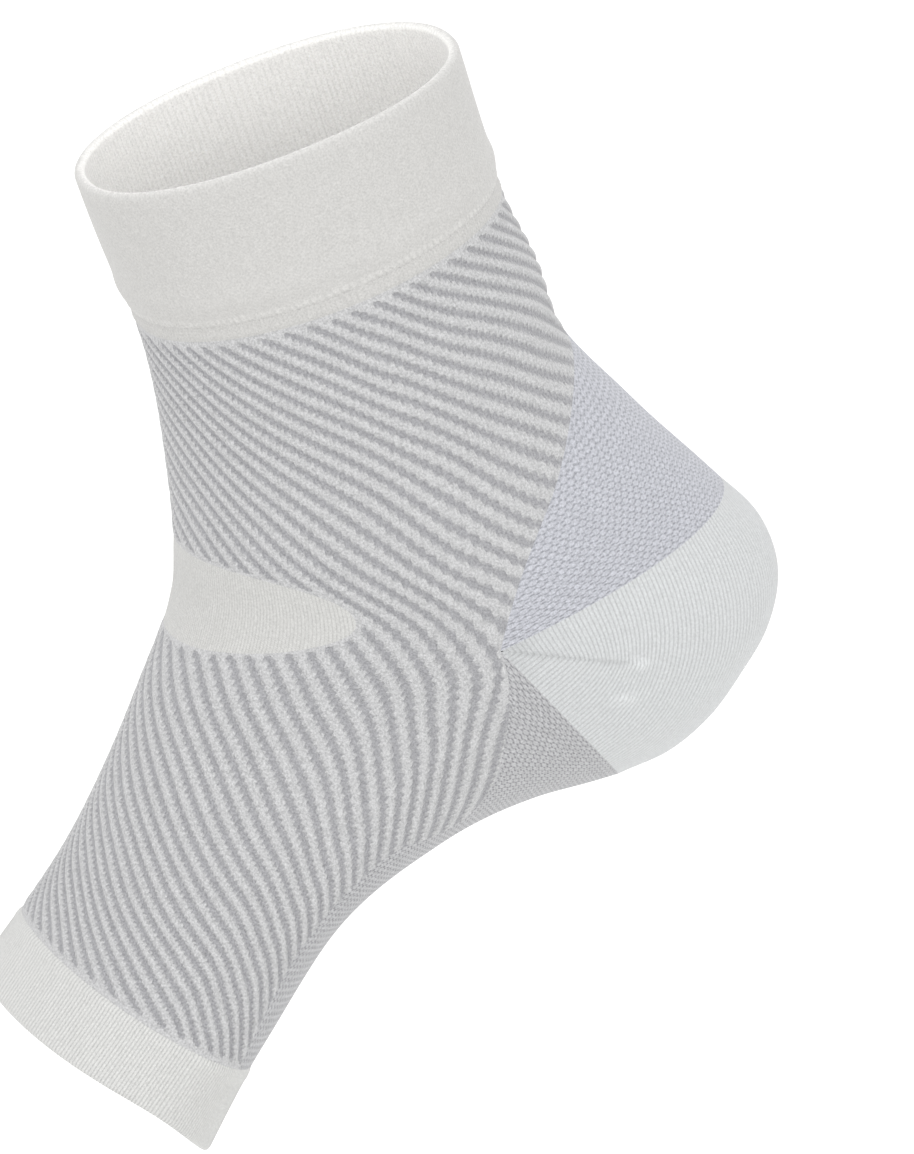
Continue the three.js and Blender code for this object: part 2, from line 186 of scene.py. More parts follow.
def ankle_row(back_y, back_z):
    return {
        "at": ANKLE, "front_y": -INSTEP[0], "front_z": INSTEP[1], "side_y": GORE[0], "side_z": -GORE[1],
        "back_y": back_y, "back_z": back_z, "wide": GORE_WIDTH / 2,
    }


LEG_ROWS = [leg_row(r) for r in LEG] + [ankle_row(*HEEL_TOP)]
FOOT_ROWS = [ankle_row(HEEL_LOW[0], -HEEL_LOW[1])] + [foot_row(r) for r in FOOT]
ALL_ROWS = LEG_ROWS + FOOT_ROWS[1:]
EDGE_ROWS = [{"at": ANKLE + at * FOOT_LENGTH, "turn": math.radians(turn)} for at, turn in SOLE_EDGE]
HEEL_ROWS = [{"back_y": HEEL_TOP[0], "back_z": HEEL_TOP[1], "at": 0.0}]
for reach, drop in HEEL + [(HEEL_LOW[0] / HEEL_REACH, -HEEL_LOW[1] / HEEL_DROP)]:
    last = HEEL_ROWS[-1]
    row = {"back_y": reach * HEEL_REACH, "back_z": drop * HEEL_DROP}
    row["at"] = last["at"] + math.hypot(row["back_y"] - last["back_y"], row["back_z"] - last["back_z"])
    HEEL_ROWS.append(row)
HEEL_ARC = HEEL_ROWS[-1]["at"]


def between(rows, column, at):
    """Smooth values of one column between the rows of a table."""
    places = np.array([r["at"] for r in rows])
    values = np.array([r[column] for r in rows])
    last = len(rows) - 1
    before = np.maximum(np.arange(last + 1) - 1, 0)
    after = np.minimum(np.arange(last + 1) + 1, last)
    slope = (values[after] - values[before]) / (places[after] - places[before])
    i = np.searchsorted(places[1:last], at, side="left")
    step = places[i + 1] - places[i]
    t = (at - places[i]) / step
    return (
        (2 * t**3 - 3 * t**2 + 1) * values[i] + (t**3 - 2 * t**2 + t) * step * slope[i]
        + (3 * t**2 - 2 * t**3) * values[i + 1] + (t**3 - t**2) * step * slope[i + 1]
    )


def smooth(low, high, value):
    t = np.clip((value - low) / (high - low), 0, 1)
    return t * t * (3 - 2 * t)


def ring_point(row, soft, turn, roundness):
    """Points of rings through a front, side and back point; the turn is 0 at the instep."""
    c = np.sign(np.cos(turn)) * np.abs(np.cos(turn)) ** (2 / roundness)
    s = np.sign(np.sin(turn)) * np.abs(np.sin(turn)) ** (2 / roundness)
    fold = (np.hypot(c, soft) - soft) / (np.hypot(1, soft) - soft)
    y = row["side_y"] + c * (row["front_y"] - row["back_y"]) / 2
    z = row["side_z"] + c * (row["front_z"] - row["back_z"]) / 2
    y += fold * ((row["front_y"] + row["back_y"]) / 2 - row["side_y"])
    z += fold * ((row["front_z"] + row["back_z"]) / 2 - row["side_z"])
    return np.stack([row["wide"] * s, y, z], axis=-1)


def tube_point(at, turn):
    """The outer surface of the tube, in millimetres."""
    row = {c: between(ALL_ROWS, c, at) for c in ("front_y", "front_z", "side_y", "side_z", "wide")}
    for column in ("back_y", "back_z"):
        row[column] = np.where(at <= ANKLE, between(LEG_ROWS, column, np.minimum(at, ANKLE)),
                               between(FOOT_ROWS, column, np.maximum(at, ANKLE)))
    return ring_point(row, BEND_SOFT * smooth(0, BEND_FADE, np.abs(at - ANKLE)), turn, ROUNDNESS)


def heel_point(at, turn):
    """The outer surface of the heel: half rings that fan out round its two corners."""
    row = ankle_row(between(HEEL_ROWS, "back_y", at), between(HEEL_ROWS, "back_z", at))
    row["front_y"] = 2 * GORE[0] - row["back_y"]
    row["front_z"] = -2 * GORE[1] - row["back_z"]
    full = np.sin(HALF * at / HEEL_ARC) ** 2
    return ring_point(row, 0.0, turn, ROUNDNESS + (HEEL_ROUNDNESS - ROUNDNESS) * full)


def raised(surface, at, turn, height, low, high, steady=None):
    """Points at a height over a surface, in millimetres."""
    facing = turn if steady is None else steady
    down = surface(np.minimum(at + 0.25, high), facing) - surface(np.maximum(at - 0.25, low), facing)
    across = surface(at, facing + 0.01) - surface(at, facing - 0.01)
    out = np.cross(down, across)
    out /= np.linalg.norm(out, axis=-1, keepdims=True)
    return surface(at, turn) + out * np.asarray(height)[..., None]


def on_tube(at, turn, height):
    low = np.where(at <= ANKLE, 0.0, ANKLE + 1e-6)
    high = np.where(at <= ANKLE, ANKLE, TOE)
    return raised(tube_point, at, turn, height + lie(at, turn), low, high)


def on_heel(at, turn, height):
    clear = math.radians(2)
    steady = np.clip(turn, QUARTER + clear, 3 * QUARTER - clear)
    return raised(heel_point, at, turn, height, 0.0, HEEL_ARC, steady)


def lie(at, turn):
    """Slow unevenness of worn cloth; it dies away at the ankle, where the pieces meet."""
    away = smooth(0, 14, np.abs(at - ANKLE))
    wave = np.sin(at / 9.5 + 2 * np.sin(turn)) + np.sin(at / 6.1 + 3 * turn)
    wave += 0.7 * np.sin(at / 15 - 2 * turn)
    return 0.1 * away * wave


# Edges of the panels, as a distance in flat millimetres that is positive inside the striped knit

def oval_distance(u, v):
    """Distance outside the instep oval."""
    x = np.abs(u) / (ROUND * PATCH_SPREAD)
    y = np.abs(v - PATCH_CENTRE) / (PATCH_HEIGHT / 2)
    size = (x**2.3 + y**2.3) ** (1 / 2.3) + 1e-9
    return (size - 1) * np.hypot(u, v - PATCH_CENTRE) / size


def panel_distance(u, v):
    """Distance outside the mesh panels and the heel behind the ankle and under the foot."""
    turn = np.abs(u) / ROUND
    dome_u = (FLAT_WIDTH / 2 - np.abs(u)) / (ROUND * QUARTER)
    dome_v = (ANKLE - v) / DOME_HEIGHT
    size = np.hypot(dome_u, dome_v) + 1e-9
    dome = (size - 1) * np.hypot(FLAT_WIDTH / 2 - np.abs(u), ANKLE - v) / size
    sole = (between(EDGE_ROWS, "turn", np.maximum(v, ANKLE)) - turn) * ROUND
    return np.where(v < ANKLE, dome, sole)


def rib_phase(u, v):
    """How many ribs lie between a place and the rim's end of the instep; whole numbers are grooves."""
    start, end = RIBS[0]["at"], RIBS[-1]["at"]
    held = np.clip(v, start, end)
    turn = np.abs(u) / ROUND
    near_side = smooth(math.radians(15), math.radians(105), turn)
    near_side *= 1 - smooth(math.radians(125), HALF, turn)
    crossed = RIB_LEAN * turn + SIDE_LEAN * smooth(math.radians(70), math.radians(112), turn)
    crossed += between(RIBS, "more", held) * near_side
    crossed -= FRONT_EASE * turn * np.exp(-((turn / FRONT_SPREAD) ** 2)) * (1 - smooth(70, 95, held))
    return between(RIBS, "down", held) + END_RATE * (v - held) - np.sign(u) * crossed


def rib_place(u, phase):
    """The place down the tube where a column of knit reaches a phase."""
    usual, steepest = 0.2, 0.3  # ribs a millimetre
    v = phase / usual + JOIN_END
    for _ in range(32):
        v += (phase - rib_phase(u, v)) / steepest
    return v


# Flat knit, cut and wrapped

def flat_knit(low, high, cell):
    """A flat grid of knit between two corners."""
    bm = bmesh.new()
    width, height = high[0] - low[0], high[1] - low[1]
    bmesh.ops.create_grid(bm, x_segments=round(width / cell[0]), y_segments=round(height / cell[1]), size=0.5)
    bmesh.ops.scale(bm, vec=(width, height, 1), verts=bm.verts)
    bmesh.ops.translate(bm, vec=((low[0] + high[0]) / 2, (low[1] + high[1]) / 2, 0), verts=bm.verts)
    bmesh.ops.reverse_faces(bm, faces=bm.faces)
    return bm


def ribbed_knit(low, high, columns, rows_in_rib):
    """A flat grid whose rows run along the ribs, cut straight at its two ends."""
    span = RIBS[-1]["down"] + STRIPES
    cell = (FLAT_WIDTH / columns, 1 / rows_in_rib)
    bm = flat_knit((low[0], -STRIPES / 2), (high[0], span - STRIPES / 2), cell)
    places = np.array([v.co.xy for v in bm.verts])
    for vert, down in zip(bm.verts, rib_place(places[:, 0], places[:, 1])):
        vert.co.y = down
    for edge, side in ((low[1], -1), (high[1], 1)):
        everything = bm.verts[:] + bm.edges[:] + bm.faces[:]
        bmesh.ops.bisect_plane(bm, geom=everything, dist=1e-4, plane_co=(0, edge, 0), plane_no=(0, side, 0),
                               clear_outer=True)
    return bm


def turn_corner(bm, corner, away):
    """Puts a knit point on a corner of the cut, and one on each edge that crosses the cut beside it twice."""
    under = [f for f in bm.faces if len(f.verts) == 4
             and intersect_point_quad_2d(corner, *(v.co.xy for v in f.verts))]
    for vert in bmesh.ops.poke(bm, faces=under[:1])["verts"]:
        vert.co.xy = corner
    bm.edges.index_update()
    beside = {e for v in bm.verts if (v.co.xy - Vector(corner)).length < CORNER_REACH for e in v.link_edges}
    for edge in sorted(beside, key=lambda e: e.index):
        low, high = (np.array(v.co.xy) for v in edge.verts)
        spots = low + (high - low) * np.linspace(0, 1, 11)[:, None]
        depths = away(spots)
        if min(depths[0], depths[-1]) > ON_LINE and depths.min() < -ON_LINE:
            bmesh.utils.edge_split(edge, edge.verts[0], 0.5)[1].co.xy = spots[depths.argmin()]


def trim(bm, distance, corners=()):
    """Cuts the flat knit along the line where a distance is 0 and drops what lies outside it."""
    def away(places):
        return distance(places[:, 0], places[:, 1])

    for corner in corners:
        turn_corner(bm, corner, away)
    verts = [v for v in bm.verts if not v.is_boundary]
    places = np.array([v.co.xy for v in verts])
    near = np.flatnonzero(np.abs(away(places)) < SNAP)
    spots = places[near]
    for _ in range(3):
        rises = [away(spots + step) - away(spots - step) for step in ((0.02, 0), (0, 0.02))]
        slope = np.stack(rises, axis=1) / 0.04
        spots = spots - slope * (away(spots) / np.maximum((slope**2).sum(axis=1), 0.05))[:, None]
    for index, spot in zip(near, spots):
        verts[index].co.xy = spot

    here = dict(zip(bm.verts, away(np.array([v.co.xy for v in bm.verts]))))
    crossing = [e for e in bm.edges if here[e.verts[0]] * here[e.verts[1]] < 0
                and min(abs(here[v]) for v in e.verts) > ON_LINE]
    ends = np.array([[v.co.xy for v in e.verts] for e in crossing])
    low, high = ends[:, 0], ends[:, 1]
    from_low, to_high = away(low), away(high)
    share = from_low / (from_low - to_high)
    for _ in range(4):
        share = share + away(low + (high - low) * share[:, None]) / (from_low - to_high)
    spots = low + (high - low) * np.clip(share, 0.01, 0.99)[:, None]
    for edge, spot in zip(crossing, spots):
        bmesh.utils.edge_split(edge, edge.verts[0], 0.5)[1].co.xy = spot
    on_line = np.abs(away(np.array([v.co.xy for v in bm.verts]))) < ON_LINE
    bmesh.ops.connect_verts(bm, verts=[v for v, cut in zip(bm.verts[:], on_line) if cut])
    gone = away(np.array([f.calc_center_median()[:2] for f in bm.faces])) < 0
    bmesh.ops.delete(bm, geom=[f for f, out in zip(bm.faces[:], gone) if out], context="FACES")


def wrap(bm, name, place, wall=None, tags=None):
    """Keeps the flat layout as a UV map in millimetres, wraps the knit and gives it its thickness."""
    flat = bm.loops.layers.uv.new("knit")
    for face in bm.faces:
        face.smooth = True
        for loop in face.loops:
            loop[flat].uv = loop.vert.co.xy
    uv = np.array([v.co.xy for v in bm.verts])
    for tag, values in (tags(uv[:, 0], uv[:, 1]) if tags else {}).items():
        layer = bm.verts.layers.float.new(tag)
        for vert, value in zip(bm.verts, values):
            vert[layer] = value
    for vert, point in zip(bm.verts, place(uv[:, 0], uv[:, 1]) / 1000):
        vert.co = point
    bmesh.ops.remove_doubles(bm, verts=bm.verts, dist=2e-6)
    for edge in bm.edges:
        edge.smooth = not edge.is_boundary and edge.calc_face_angle(0) < CREASE
    mesh = bpy.data.meshes.new(name)
    bm.to_mesh(mesh)
    bm.free()
    piece = bpy.data.objects.new(name, mesh)
    bpy.context.scene.collection.objects.link(piece)
    if wall:
        thick = piece.modifiers.new("wall", "SOLIDIFY")
        thick.thickness = wall / 1000
        thick.offset = -1
        thick.use_quality_normals = True
    return piece


# Nodes and colours

def linear(code):
    """Linear colour from an sRGB hex value."""
    parts = [int(code[i:i + 2], 16) / 255 for i in (1, 3, 5)]
    return [p / 12.92 if p <= 0.04045 else ((p + 0.055) / 1.055) ** 2.4 for p in parts] + [1.0]


def add(tree, kind, inputs=(), **settings):
    """Adds a node with its settings; an input is a value, a socket, or a node for its first output."""
    made = tree.nodes.new(kind)
    for key, value in settings.items():
        setattr(made, key, value)
    for key, value in dict(inputs).items():
        if isinstance(value, bpy.types.Node):
            value = value.outputs[0]
        if isinstance(value, bpy.types.NodeSocket):
            tree.links.new(value, made.inputs[key])
        else:
            made.inputs[key].default_value = value
    return made


# The yarns: white covered elastane and textured nylon, circular knitted, matte with a faint fuzz
def knitted(material, height, low, high, mask, depth, fleck=0.12, whiter=None):
    """Finishes a knit: its two colours by a mask, its relief by a height, and loose fibres on both."""
    tree = material.node_tree
    place = add(tree, "ShaderNodeTexCoord").outputs["Object"]
    fibre = add(tree, "ShaderNodeTexNoise", {"Vector": place, "Scale": FLECKS, "Detail": 2, "Roughness": 0.7})
    cloud = add(tree, "ShaderNodeTexNoise", {"Vector": place, "Scale": CLOUDS, "Detail": 3, "Roughness": 0.6})
    dyed = add(tree, "ShaderNodeMix", {0: mask, 6: linear(low), 7: linear(high)}, data_type="RGBA").outputs[2]
    speck = add(tree, "ShaderNodeMapRange", {0: fibre, 1: 0.3, 2: 0.7, 3: 1 - fleck, 4: 1 + fleck})
    patchy = add(tree, "ShaderNodeMapRange", {0: cloud, 1: 0.3, 2: 0.7, 3: 0.985, 4: 1.015})
    both = add(tree, "ShaderNodeMath", {0: speck, 1: patchy}, operation="MULTIPLY")
    # A piece's attribute scales the colour: painted light and painted highlights, lighter stitch dashes and a
    # darker seam, where the piece carries one
    if whiter:
        full = add(tree, "ShaderNodeAttribute", attribute_name=whiter).outputs["Fac"]
        both = add(tree, "ShaderNodeMath", {0: both, 1: full, 2: both}, operation="MULTIPLY_ADD")
    shade = add(tree, "ShaderNodeVectorMath", {0: dyed, "Scale": both}, operation="SCALE")
    fuzz = add(tree, "ShaderNodeMath", {0: fibre, 1: 0.35, 2: height}, operation="MULTIPLY_ADD")
    bump = add(tree, "ShaderNodeBump", {"Height": fuzz, "Distance": depth / 1000, "Strength": 1.0})
    cloth = add(tree, "ShaderNodeBsdfPrincipled", {
        "Base Color": shade, "Normal": bump, "Roughness": 0.9, "IOR": 1.53,
        "Specular IOR Level": 0.25, "Sheen Weight": 0.2, "Sheen Roughness": 0.5,
    })
    add(tree, "ShaderNodeOutputMaterial", {"Surface": cloth})
    return material


def flat_layout(name):
    """Starts a material and gives its u and v in flat millimetres."""
    material = bpy.data.materials.new(name)
    material.use_nodes = True
    tree = material.node_tree
    tree.nodes.clear()
    split = add(tree, "ShaderNodeSeparateXYZ", {0: add(tree, "ShaderNodeUVMap", uv_map="knit")})
    return material, tree, split.outputs[0], split.outputs[1]


def striped_knit():
    """Jacquard knit: raised white diagonal ribs on a grey ground, with edges that step wale by wale."""
    material, tree, u, v = flat_layout("striped_jacquard")
    math_ = "ShaderNodeMath"
    phase = add(tree, "ShaderNodeAttribute", attribute_name="phase").outputs["Fac"]
    wale = add(tree, math_, {0: u, 1: WALE}, operation="DIVIDE")
    across = add(tree, math_, {0: wale}, operation="FRACT")
    step = TOOTH * WALE * STRIPES / FLAT_WIDTH
    stepped = add(tree, math_, {0: across, 1: step, 2: phase}, operation="MULTIPLY_ADD")
    place = add(tree, "ShaderNodeTexCoord").outputs["Object"]
    stray = add(tree, "ShaderNodeTexNoise", {"Vector": place, "Scale": STRAYS, "Detail": 2})
    loose = add(tree, math_, {0: stray, 1: 0.18, 2: stepped}, operation="MULTIPLY_ADD")
    shift = add(tree, math_, {0: loose, 1: step / 2 + 0.09}, operation="SUBTRACT")
    wave = add(tree, math_, {0: shift, 1: 0.5}, operation="PINGPONG")
    border = add(tree, "ShaderNodeAttribute", attribute_name="border").outputs["Fac"]
    # The grooves close over the last two millimetres before a plain border
    ends = add(tree, "ShaderNodeMapRange", {0: border, 1: 0.3, 2: 1.9, 3: 0.32, 4: 0.0},
               interpolation_type="SMOOTHSTEP")
    closed = add(tree, math_, {0: wave, 1: ends}, operation="ADD")
    rib = add(tree, "ShaderNodeMapRange", {0: closed, 1: 0.09, 2: 0.31}, interpolation_type="SMOOTHSTEP")
    # Each stitch is a small V, two legs that lean to the middle of its wale
    lean = add(tree, math_, {0: across, 1: 0.5}, operation="PINGPONG")
    course = add(tree, math_, {0: lean, 1: 1.4, 2: v}, operation="MULTIPLY_ADD")
    leg = add(tree, math_, {0: course, 1: 0.5}, operation="PINGPONG")
    height = add(tree, math_, {0: leg, 1: 0.8, 2: rib}, operation="MULTIPLY_ADD")
    return knitted(material, height, "#98989b", "#b6b6b7", rib.outputs[0], 0.2, fleck=0.26)


def mesh_knit(name, low, high):
    """Tuck-stitch mesh: bricks of small open stitches that read as dark dots."""
    material, tree, u, v = flat_layout(name)
    math_ = "ShaderNodeMath"
    row = add(tree, math_, {0: v, 1: MESH_TALL}, operation="DIVIDE")
    count = add(tree, math_, {0: row}, operation="FLOOR")
    offset = add(tree, math_, {0: count, 1: 0.5, 2: 0.0}, operation="MULTIPLY_ADD")
    column = add(tree, math_, {0: u, 1: 1 / MESH_WIDE, 2: offset}, operation="MULTIPLY_ADD")
    across = add(tree, math_, {0: column, 1: 0.5}, operation="PINGPONG")
    down = add(tree, math_, {0: row, 1: 0.5}, operation="PINGPONG")
    far = add(tree, math_, {0: across, 1: across}, operation="MULTIPLY")
    tall = add(tree, math_, {0: down, 1: down}, operation="MULTIPLY")
    total = add(tree, math_, {0: far, 1: 2.2, 2: tall}, operation="MULTIPLY_ADD")
    hole = add(tree, "ShaderNodeMapRange", {0: total, 1: 0.0, 2: 0.22}, interpolation_type="SMOOTHSTEP")
    return knitted(material, hole, low, high, hole.outputs[0], 0.14, fleck=0.24)


def plain_knit(name, wale, course, low, high, depth, line=0.5, stitch=0.5, where=None, whiter=None):
    """Fine plain knit: thin furrows between the wales, and small stitches that lean to each wale's middle."""
    material, tree, u, v = flat_layout(name)
    math_ = "ShaderNodeMath"
    column = add(tree, math_, {0: u, 1: wale}, operation="DIVIDE")
    across = add(tree, math_, {0: column, 1: 0.5}, operation="PINGPONG")
    furrow = add(tree, "ShaderNodeMapRange", {0: across, 1: 0.0, 2: 0.28}, interpolation_type="SMOOTHSTEP")
    row = add(tree, math_, {0: v, 1: course}, operation="DIVIDE")
    chevron = add(tree, math_, {0: across, 1: 1.4, 2: row}, operation="MULTIPLY_ADD")
    leg = add(tree, math_, {0: chevron, 1: 0.5}, operation="PINGPONG")
    loops = add(tree, math_, {0: leg, 1: 2 * stitch}, operation="MULTIPLY")
    if where:
        shown = add(tree, "ShaderNodeAttribute", attribute_name=where).outputs["Fac"]
        furrow = add(tree, math_, {0: furrow, 1: shown}, operation="MULTIPLY")
    height = add(tree, math_, {0: furrow, 1: line, 2: loops}, operation="MULTIPLY_ADD")
    return knitted(material, height, low, high, height.outputs[0], depth, whiter=whiter)


# Pieces

def striped_distance(u, v):
    return np.minimum(panel_distance(u, v), oval_distance(u, v)) - CUT_GAP


def rib_height(u, v):
    """Relief of the diagonal ribs, which sinks to nothing at the plain borders."""
    wave = -np.cos(2 * HALF * rib_phase(u, v))
    border = np.minimum(np.minimum(v - JOIN_END, BAND_START - v), oval_distance(u, v))
    edge = smooth(0, 2, border) * smooth(0, 2.5, panel_distance(u, v))
    return RIB_RELIEF * edge * wave * (1.25 - 0.25 * np.abs(wave))


def make_striped_sleeve():
    low = (-FLAT_WIDTH / 2, JOIN_END + CUT_GAP)
    high = (FLAT_WIDTH / 2, BAND_START - CUT_GAP)
    bm = ribbed_knit(low, high, 190, 8)
    trim(bm, striped_distance, [(side * ROUND * QUARTER, ANKLE) for side in (-1, 1)])
    return wrap(
        bm, "striped_knit_tube", lambda u, v: on_tube(v, u / ROUND, rib_height(u, v)), KNIT_WALL,
        lambda u, v: {
            "border": np.minimum(np.minimum(v - JOIN_END, BAND_START - v), oval_distance(u, v)),
            "phase": rib_phase(u, v),
        },
    )


def make_patch():
    reach = ROUND * PATCH_SPREAD + 0.5
    rise = PATCH_HEIGHT / 2 + 0.5
    bm = flat_knit((-reach, PATCH_CENTRE - rise), (reach, PATCH_CENTRE + rise), (0.8, 0.8))
    trim(bm, lambda u, v: -oval_distance(u, v) - CUT_GAP)
    return wrap(bm, "instep_oval", lambda u, v: on_tube(v, u / ROUND, 0 * u), KNIT_WALL)


def make_achilles_panel():
    low = (ROUND * QUARTER, ANKLE - DOME_HEIGHT - 0.5)
    high = (3 * ROUND * QUARTER, ANKLE - CUT_GAP)
    bm = flat_knit(low, high, (0.75, 0.75))

    def distance(u, v):
        return -panel_distance(np.where(u > FLAT_WIDTH / 2, FLAT_WIDTH - u, u), v) - CUT_GAP

    trim(bm, distance)
    return wrap(bm, "achilles_mesh", lambda u, v: on_tube(v, u / ROUND, 0 * u), KNIT_WALL)


def make_sole_panel():
    low = (ROUND * QUARTER, ANKLE + CUT_GAP)
    high = (3 * ROUND * QUARTER, BAND_START - CUT_GAP)
    bm = flat_knit(low, high, (0.8, 0.8))

    def distance(u, v):
        return -panel_distance(np.where(u > FLAT_WIDTH / 2, FLAT_WIDTH - u, u), v) - CUT_GAP

    trim(bm, distance)
    return wrap(bm, "sole_mesh", lambda u, v: on_tube(v, u / ROUND, 0 * u), KNIT_WALL)


def make_join_band():
    low = (-FLAT_WIDTH / 2, CUFF_HEIGHT + CUT_GAP)
    high = (FLAT_WIDTH / 2, JOIN_END - CUT_GAP)
    bm = flat_knit(low, high, (FLAT_WIDTH / 360, 0.28))

    def place(u, v):
        stitches = 0.6 + 0.4 * np.cos(2 * HALF * u / FLAT_WIDTH * 120)
        thread = np.exp(-(((v - JOIN_END + 0.7) / 0.35) ** 2)) * stitches
        roll = np.sin(HALF * np.clip((v - low[1]) / (high[1] - low[1]), 0, 1))
        return on_tube(v, u / ROUND, 0.22 * thread + 0.15 * roll)

    return wrap(bm, "cuff_join", place, KNIT_WALL)


def hoop(name, outline, columns, step, relief, tags=None):
    """A ring of knit with a closed cross-section of places down the tube and heights over it."""
    points = np.array(outline + outline[:1], float)
    length = np.concatenate([[0], np.cumsum(np.hypot(*np.diff(points, axis=0).T))])
    rows = np.concatenate([[0], np.cumsum(np.maximum(1, np.round(np.diff(length) / step)))])
    bm = flat_knit((-FLAT_WIDTH / 2, 0), (FLAT_WIDTH / 2, rows[-1]), (FLAT_WIDTH / columns, 1))
    for vert, along in zip(bm.verts, np.interp([v.co.y for v in bm.verts], rows, length)):
        vert.co.y = along

    def place(u, v):
        at = np.interp(v, length, points[:, 0])
        height = np.interp(v, length, points[:, 1])
        return on_tube(at, u / ROUND, height + relief(u, v, at, length[-1]))

    return wrap(bm, name, place, tags=tags)


def make_cuff():
    outer = CUFF_LIFT
    inner = CUFF_LIFT - CUFF_WALL
    nose = CUFF_WALL / 2
    end = CUFF_HEIGHT - CUT_GAP
    middle = (outer + inner) / 2
    turned = [(nose * (1 - math.sin(a)), middle + nose * math.cos(a)) for a in np.linspace(QUARTER, 0, 6)]
    tucked = [(nose * (1 - math.sin(a)), middle - nose * math.cos(a)) for a in np.linspace(0, QUARTER, 6)]
    outline = turned + [
        (end - HEM_TAPER, outer), (end - HEM_TAPER * 0.7, outer * 0.93),
        (end - HEM_TAPER * 0.45, outer * 0.7),
        (end - HEM_TAPER * 0.2, outer * 0.3), (end, 0), (end, -KNIT_WALL), (end - HEM_TAPER, inner),
    ] + tucked[:-1]
    stitches = round(FLAT_WIDTH / HEM_STITCH)

    def relief(u, v, at, total):
        outside = v < total / 2
        dash = smooth(-0.5, 0.1, np.cos(2 * HALF * stitches * u / FLAT_WIDTH))
        row = np.exp(-(((at - end + 0.75) / 0.42) ** 2))
        roll = np.exp(-(((at - end + 5) / 2.2) ** 2))
        return np.where(outside, 0.2 * dash * row + 0.35 * roll, 0)

    def tags(u, v):
        # Inside and round the rim the cuff isn't stretched flat: its wales show. Its inside is painted
        # lighter, painted light for the light that falls into it, less so near the rim; outside, a thin
        # painted highlight runs round the rim, and the hem's stitch row is drawn as lighter dashes
        inside = smooth(end + 1, end + 3, v)
        dash = smooth(-0.5, 0.1, np.cos(2 * HALF * stitches * u / FLAT_WIDTH))
        thread = dash * np.exp(-(((v - end + 0.4) / 0.4) ** 2))
        rim = 1 - smooth(0.2, 1.5, np.minimum(v, v.max() - v))
        return {
            "ribbed": np.maximum(0.6 * inside, 0.4 * (1 - smooth(1.5, 5, v))),
            "whiter": np.where(inside > 0, 0.8 - 0.5 * rim, np.maximum(0.12 * rim, 0.2 * thread)),
        }

    return hoop("turned_cuff", outline, 450, 0.6, relief, tags)


def make_toe_band():
    outer = TOE_LIFT
    inner = TOE_LIFT - TOE_WALL
    nose = TOE_WALL / 2
    top = BAND_START + CUT_GAP
    middle = (outer + inner) / 2
    edge = [(TOE - nose + nose * math.sin(a), middle + nose * math.cos(a)) for a in np.linspace(0, HALF, 8)]
    outline = [(top, 0), (top + 0.8, outer * 0.8), (top + 1.6, outer)] + edge + [(top, inner)]

    def relief(u, v, at, total):
        outside = v < total / 2
        wave = np.cos(2 * HALF * TOE_RIBS * u / FLAT_WIDTH)
        ribbed = smooth(top + 1.2, top + 3, at) * (1 - smooth(TOE - 1.2, TOE - 0.2, at))
        ridge = np.exp(-(((at - top - 1.3) / 0.8) ** 2)) * smooth(0, 0.6, at - top)
        return np.where(outside, 0.055 * wave * ribbed + 0.2 * ridge, 0.055 * wave * ribbed)

    return hoop("toe_rib_band", outline, TOE_RIBS * 5, 0.9, relief)


def make_heel():
    columns, rows = 150, 110
    clear = math.radians(0.1)
    bm = bmesh.new()
    bmesh.ops.create_grid(bm, x_segments=columns, y_segments=rows, size=0.5)
    bmesh.ops.translate(bm, vec=(0.5, 0.5, 0), verts=bm.verts)
    bmesh.ops.reverse_faces(bm, faces=bm.faces)
    share, across = np.meshgrid(np.linspace(0, 1, rows + 1), np.linspace(0, 1, columns + 1), indexing="ij")
    turn = QUARTER + clear + (HALF - 2 * clear) * across
    trim_mm = CUT_GAP / np.abs(np.cos(turn)) ** (2 / ROUNDNESS)
    trim_mm = np.minimum(trim_mm, 8)
    at = trim_mm + (HEEL_ARC - 2 * trim_mm) * share
    bare = on_heel(at, turn, 0 * at)
    paces = np.linalg.norm(np.diff(bare, axis=1), axis=2)
    walk = np.concatenate([np.zeros((rows + 1, 1)), np.cumsum(paces, axis=1)], axis=1)
    near = np.minimum(walk, walk[:, -1:] - walk)
    # The wales meet at the gore line in chevrons near each corner and bend round it further back
    fan = math.radians(70)
    angle = np.minimum(share, 1 - share) * fan
    wale = near * (1 - (1 - np.cos(angle)) * (1 - smooth(10, 34, near)) * 1.3)
    off_gore = near * np.abs(share - 0.5) * fan
    gore = np.exp(-((off_gore / 0.5) ** 2)) * (1 - smooth(24, 30, near)) * smooth(1, 4, near)
    knot = np.exp(-(((near - GORE_END) / 1.9) ** 2) - (off_gore / 1.2) ** 2)
    lower = np.exp(-(((near - GORE_END) / 2.4) ** 2) - ((off_gore - PUCKER_GAP) / 1.1) ** 2)
    lower = np.where(share > 0.5, lower, 0)
    height = -0.2 * gore + 0.75 * knot + 0.6 * lower
    finished = on_heel(at, turn, height)
    column = np.array([round(v.co.x * columns) for v in bm.verts])
    row = np.array([round(v.co.y * rows) for v in bm.verts])
    for vert, u, v in zip(bm.verts, wale[row, column], at[row, column]):
        vert.co = (u, v, 0)
    places = finished[row, column]
    # Painted highlights on the two puckers, and a darker line along the gore's seam
    whiter = (0.15 * knot + 0.13 * lower - 0.1 * gore)[row, column]
    return wrap(bm, "heel_cup", lambda u, v: places, KNIT_WALL, lambda u, v: {"whiter": whiter})


